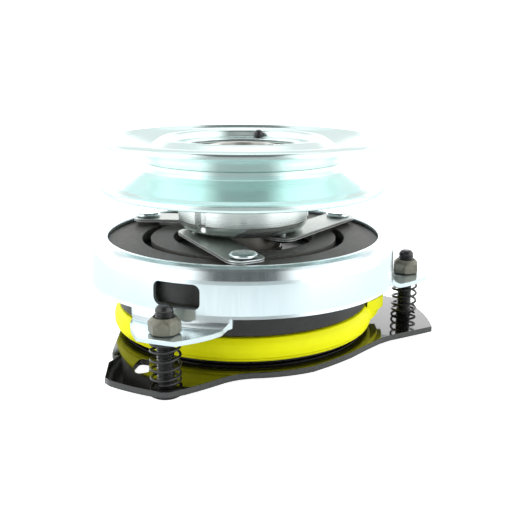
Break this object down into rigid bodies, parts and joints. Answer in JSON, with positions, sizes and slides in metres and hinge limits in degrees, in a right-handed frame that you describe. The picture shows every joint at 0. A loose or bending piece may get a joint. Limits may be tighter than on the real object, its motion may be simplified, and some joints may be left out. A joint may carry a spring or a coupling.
{
  "type": "electromagnetic clutch",
  "caption": "Electric clutch and brake with a V-belt pulley over a leaf-sprung armature, a rotor, a fixed coil and a brake shell held on sprung studs.",
  "frame": {"origin": "on the shaft's axis, in the plane of the rotor disc's back face, 37.8 mm above the mounting plate's underside", "axes": "+Z along the shaft from the mounting plate to the pulley; +X close to one of the three studs, which stands 8 degrees round from it; +Y by the right-hand rule"},
  "size_m": [0.1813, 0.1897, 0.1056],
  "materials": {
    "zinc": "bright zinc plate with a faint blue-green tint",
    "bare_steel": "turned or drawn bare steel",
    "spring_steel": "rolled spring steel",
    "armature_steel": "dark oxidised machined face",
    "rotor_steel": "dark oxidised steel",
    "black_paint": "gloss black",
    "black_steel": "black oxide",
    "yellow_cover": "satin yellow",
    "copper": "enamelled copper winding",
    "nylon": "natural nylon",
    "resin": "cast resin",
    "lining": "pressed friction material",
    "bearing_steel": "ground bearing steel",
    "seal_rubber": "moulded rubber",
    "brass": "pressed brass",
    "phosphate": "olive-grey phosphate"
  },
  "bodies": {
    "field": {"mounting_plate": "black_paint", "field_shell": "black_steel", "coil_bobbin": "nylon", "coil_winding": "copper", "coil_potting": "resin", "field_bearing_outer_race": "bearing_steel", "field_snap_ring": "black_steel", "field_cover_ring": "yellow_cover", "connector_insert": "nylon", "terminal_pin_lower": "brass", "terminal_pin_upper": "brass", "brake_stud_1": "black_steel", "brake_stud_2": "black_steel", "brake_stud_3": "black_steel", "brake_spring_1": "black_steel", "brake_spring_2": "black_steel", "brake_spring_3": "black_steel"},
    "rotor": {"rotor": "rotor_steel", "rotor_hub": "bare_steel", "friction_lining": "lining", "hub_snap_ring": "black_steel", "bearing_spacer": "bare_steel", "field_bearing_inner_race": "bearing_steel", "pulley_bearing_lower_inner_race": "bearing_steel", "pulley_bearing_upper_inner_race": "bearing_steel"},
    "field_bearing_cage": {"field_bearing_ball_cage": "brass"},
    "pulley": {"pulley_upper_flange": "zinc", "pulley_lower_flange": "zinc", "bearing_housing": "bare_steel", "pulley_bearing_lower_outer_race": "bearing_steel", "pulley_bearing_upper_outer_race": "bearing_steel", "bearing_seal_top": "seal_rubber", "bearing_seal_bottom": "seal_rubber", "pulley_rivet_1": "black_steel", "leaf_rivet_1": "zinc", "leaf_rivet_2": "zinc", "leaf_rivet_3": "zinc", "leaf_spring_lower_1": "spring_steel", "leaf_spring_lower_2": "spring_steel", "leaf_spring_lower_3": "spring_steel", "leaf_spring_upper_1": "spring_steel", "leaf_spring_upper_2": "spring_steel", "leaf_spring_upper_3": "spring_steel"},
    "pulley_bearing_cages": {"pulley_bearing_lower_ball_cage": "brass", "pulley_bearing_upper_ball_cage": "brass"},
    "armature": {"armature": "armature_steel", "armature_rivet_1": "zinc", "armature_rivet_2": "zinc", "armature_rivet_3": "zinc"},
    "brake_shell": {"brake_shell": "zinc"},
    "lock_nut_1": {"lock_nut_1": "phosphate"},
    "lock_nut_2": {"lock_nut_2": "phosphate"},
    "lock_nut_3": {"lock_nut_3": "phosphate"}
  },
  "joints": [
    {"name": "rotor_spin", "type": "hinge", "parent": "field", "child": "rotor", "pos_m": [0, 0, 0], "axis": [0, 0, 1], "continuous": true},
    {"name": "field_cage_turn", "type": "hinge", "parent": "field", "child": "field_bearing_cage", "pos_m": [0, 0, 0], "axis": [0, 0, 1], "continuous": true},
    {"name": "pulley_spin", "type": "hinge", "parent": "rotor", "child": "pulley", "pos_m": [0, 0, 0], "axis": [0, 0, 1], "continuous": true},
    {"name": "pulley_cages_turn", "type": "hinge", "parent": "rotor", "child": "pulley_bearing_cages", "pos_m": [0, 0, 0], "axis": [0, 0, 1], "continuous": true},
    {"name": "armature_pull_in", "type": "slide", "parent": "pulley", "child": "armature", "axis": [0, 0, -1], "range_m": [0, 0.0004], "deforming": ["leaf_spring_lower_1", "leaf_spring_lower_2", "leaf_spring_lower_3", "leaf_spring_upper_1", "leaf_spring_upper_2", "leaf_spring_upper_3"]},
    {"name": "brake_adjust", "type": "slide", "parent": "field", "child": "brake_shell", "axis": [0, 0, 1], "range_m": [-0.0002, 0.00125], "deforming": ["brake_spring_1", "brake_spring_2", "brake_spring_3"]},
    {"name": "nut_turn_1", "type": "hinge", "parent": "brake_shell", "child": "lock_nut_1", "pos_m": [-0.03416, -0.08456, -0.0083], "axis": [0, 0, 1], "range_deg": [-58, 361]},
    {"name": "nut_turn_2", "type": "hinge", "parent": "brake_shell", "child": "lock_nut_2", "pos_m": [0.09031, 0.01269, -0.0083], "axis": [0, 0, 1], "range_deg": [-58, 361]},
    {"name": "nut_turn_3", "type": "hinge", "parent": "brake_shell", "child": "lock_nut_3", "pos_m": [-0.05615, 0.07187, -0.0083], "axis": [0, 0, 1], "range_deg": [-58, 361]}
  ],
  "couplings": [
    {"joint": "field_cage_turn", "follows": "rotor_spin", "ratio": 0.41},
    {"joint": "pulley_cages_turn", "follows": "pulley_spin", "ratio": 0.59},
    {"joint": "nut_turn_1", "follows": "brake_adjust", "rad_per_m": 5026.5},
    {"joint": "nut_turn_2", "follows": "brake_adjust", "rad_per_m": 5026.5},
    {"joint": "nut_turn_3", "follows": "brake_adjust", "rad_per_m": 5026.5}
  ]
}
